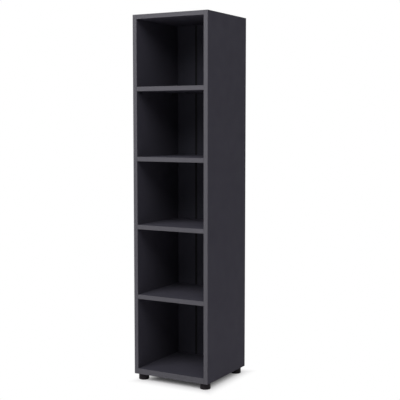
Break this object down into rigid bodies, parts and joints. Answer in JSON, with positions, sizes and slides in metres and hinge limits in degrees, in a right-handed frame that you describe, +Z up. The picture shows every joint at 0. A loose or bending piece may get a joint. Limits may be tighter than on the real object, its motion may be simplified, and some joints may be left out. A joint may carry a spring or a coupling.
{
  "type": "open bookcase",
  "caption": "Tall narrow open bookcase: cammed board carcass with edge bands, loose shelves on pins, a leafed back and screw-adjusted levelling feet.",
  "frame": {"origin": "on the floor, under the centre of the bookcase", "axes": "+Z up, the open front faces -Y, +X to the right as seen from the front"},
  "size_m": [0.425, 0.405, 1.84],
  "materials": {
    "melamine": "anthracite melamine board with a fine pearl texture",
    "edge_band": "anthracite edge band, satin",
    "back_leaf": "anthracite lacquered fibreboard",
    "strip_plastic": "black extruded plastic",
    "foot_plastic": "black moulded plastic, fine texture",
    "cap_plastic": "anthracite moulded plastic",
    "zinc_steel": "zinc plated steel",
    "pin_steel": "black passivated zinc plated steel",
    "cast_zinc": "die cast zinc alloy",
    "beech": "bare beech"
  },
  "bodies": {
    "carcass": {"side_panel_left": "melamine", "side_panel_right": "melamine", "top_panel": "melamine", "bottom_panel": "melamine", "fixed_shelf": "melamine", "side_band_left": "edge_band", "side_band_right": "edge_band", "side_end_band_left": "edge_band", "side_end_band_right": "edge_band", "top_band": "edge_band", "bottom_band": "edge_band", "fixed_shelf_band": "edge_band", "back_leaf_left": "back_leaf", "back_leaf_middle": "back_leaf", "back_leaf_right": "back_leaf", "back_strip_left": "strip_plastic", "back_strip_right": "strip_plastic", "foot_collar_front_left": "foot_plastic", "foot_collar_front_right": "foot_plastic", "foot_collar_rear_left": "foot_plastic", "foot_collar_rear_right": "foot_plastic", "cam_caps": "cap_plastic", "access_caps": "cap_plastic", "back_screws": "zinc_steel", "cam_bolts": "zinc_steel", "foot_nuts": "zinc_steel", "collar_screws": "zinc_steel", "upper_shelf_pins": "pin_steel", "middle_shelf_pins": "pin_steel", "lower_shelf_pins": "pin_steel", "cam_locks": "cast_zinc", "dowels": "beech"},
    "upper_shelf": {"upper_shelf": "melamine", "upper_shelf_band": "edge_band"},
    "middle_shelf": {"middle_shelf": "melamine", "middle_shelf_band": "edge_band"},
    "lower_shelf": {"lower_shelf": "melamine", "lower_shelf_band": "edge_band"},
    "glide_front_left": {"foot_glide_front_left": "foot_plastic"},
    "glide_front_right": {"foot_glide_front_right": "foot_plastic"},
    "glide_rear_left": {"foot_glide_rear_left": "foot_plastic"},
    "glide_rear_right": {"foot_glide_rear_right": "foot_plastic"},
    "spindle_front_left": {"foot_spindle_front_left": "zinc_steel"},
    "spindle_front_right": {"foot_spindle_front_right": "zinc_steel"},
    "spindle_rear_left": {"foot_spindle_rear_left": "zinc_steel"},
    "spindle_rear_right": {"foot_spindle_rear_right": "zinc_steel"}
  },
  "joints": [
    {"name": "upper_shelf_slide", "type": "slide", "parent": "carcass", "child": "upper_shelf", "axis": [0, -1, 0], "range_m": [0, 0.4]},
    {"name": "middle_shelf_slide", "type": "slide", "parent": "carcass", "child": "middle_shelf", "axis": [0, -1, 0], "range_m": [0, 0.4]},
    {"name": "lower_shelf_slide", "type": "slide", "parent": "carcass", "child": "lower_shelf", "axis": [0, -1, 0], "range_m": [0, 0.4]},
    {"name": "glide_front_left_travel", "type": "slide", "parent": "carcass", "child": "glide_front_left", "axis": [0, 0, -1], "range_m": [0, 0.012]},
    {"name": "spindle_front_left_turn", "type": "hinge", "parent": "glide_front_left", "child": "spindle_front_left", "pos_m": [-0.1795, -0.1645, 0.02], "axis": [0, 0, -1], "range_deg": [0, 2880]},
    {"name": "glide_front_right_travel", "type": "slide", "parent": "carcass", "child": "glide_front_right", "axis": [0, 0, -1], "range_m": [0, 0.012]},
    {"name": "spindle_front_right_turn", "type": "hinge", "parent": "glide_front_right", "child": "spindle_front_right", "pos_m": [0.1795, -0.1645, 0.02], "axis": [0, 0, -1], "range_deg": [0, 2880]},
    {"name": "glide_rear_left_travel", "type": "slide", "parent": "carcass", "child": "glide_rear_left", "axis": [0, 0, -1], "range_m": [0, 0.012]},
    {"name": "spindle_rear_left_turn", "type": "hinge", "parent": "glide_rear_left", "child": "spindle_rear_left", "pos_m": [-0.1795, 0.1645, 0.02], "axis": [0, 0, -1], "range_deg": [0, 2880]},
    {"name": "glide_rear_right_travel", "type": "slide", "parent": "carcass", "child": "glide_rear_right", "axis": [0, 0, -1], "range_m": [0, 0.012]},
    {"name": "spindle_rear_right_turn", "type": "hinge", "parent": "glide_rear_right", "child": "spindle_rear_right", "pos_m": [0.1795, 0.1645, 0.02], "axis": [0, 0, -1], "range_deg": [0, 2880]}
  ],
  "couplings": [
    {"joint": "spindle_front_left_turn", "follows": "glide_front_left_travel", "rad_per_m": 4188.8},
    {"joint": "spindle_front_right_turn", "follows": "glide_front_right_travel", "rad_per_m": 4188.8},
    {"joint": "spindle_rear_left_turn", "follows": "glide_rear_left_travel", "rad_per_m": 4188.8},
    {"joint": "spindle_rear_right_turn", "follows": "glide_rear_right_travel", "rad_per_m": 4188.8}
  ]
}
